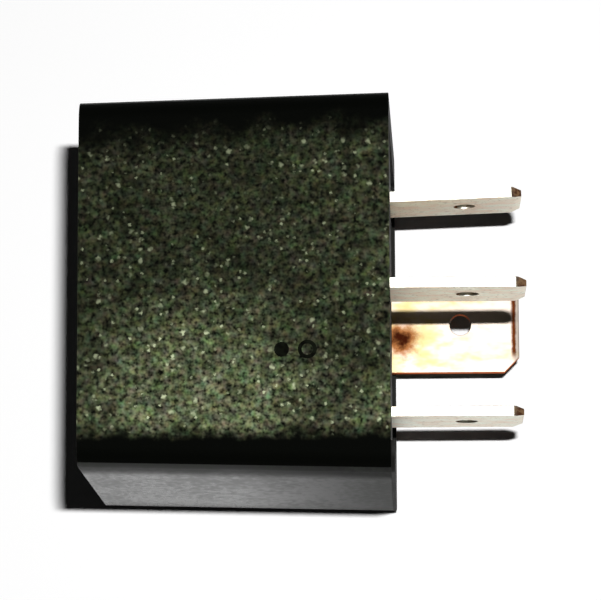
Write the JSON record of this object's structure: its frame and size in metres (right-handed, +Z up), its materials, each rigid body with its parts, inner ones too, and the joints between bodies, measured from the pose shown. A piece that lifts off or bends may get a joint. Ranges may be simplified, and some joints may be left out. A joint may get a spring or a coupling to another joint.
{
  "type": "automotive relay",
  "caption": "Sealed plug-in automotive relay: black moulded cover, base with blade terminals, and an electromagnet with a hinged armature that closes a contact.",
  "frame": {"origin": "on the seating plane of the base, where the line through the two coil blades crosses the line through the two contact blades", "axes": "+X is the way the blades plug in, +Y runs from coil terminal 85 to coil terminal 86, +Z points up from the broad side the relay lies on, from the switched terminal to the common terminal"},
  "size_m": [0.0333, 0.0286, 0.0278],
  "materials": {
    "cover_plastic": "moulded black with a coarse grain, worn pale on the peaks",
    "base_plastic": "moulded black, fine grain",
    "tinned_brass": "tin plated, satin",
    "bare_copper_alloy": "bare copper alloy, rolled, slightly oxidised at the base",
    "plated_steel": "zinc plated",
    "core_steel": "turned and nickel plated",
    "bobbin_plastic": "natural glass-filled nylon",
    "enamelled_wire": "enamelled copper wire, wound in layers",
    "solder": "dull solder",
    "spring_bronze": "rolled spring bronze",
    "contact_silver": "silver alloy, matt",
    "stop_steel": "tin plated"
  },
  "bodies": {
    "housing": {"cover": "cover_plastic", "base": "base_plastic", "terminal_30": "tinned_brass", "terminal_87": "bare_copper_alloy", "terminal_85": "tinned_brass", "terminal_86": "tinned_brass", "yoke": "plated_steel", "core": "core_steel", "bobbin": "bobbin_plastic", "winding": "enamelled_wire", "solder_85": "solder", "solder_86": "solder", "yoke_rivet_85": "plated_steel", "yoke_rivet_86": "plated_steel", "fixed_contact": "contact_silver", "backstop": "stop_steel"},
    "armature": {"armature": "plated_steel", "armature_rivet_85": "plated_steel", "armature_rivet_86": "plated_steel", "contact_spring": "spring_bronze", "moving_contact": "contact_silver"}
  },
  "joints": [
    {"name": "armature_pivot", "type": "hinge", "parent": "housing", "child": "armature", "pos_m": [-0.01801, 0, 0.01105], "axis": [0, -1, 0], "range_deg": [0, 3], "stiffness_Nm_per_rad": 0.02, "springref_deg": -5.73, "deforming": ["contact_spring"]}
  ]
}
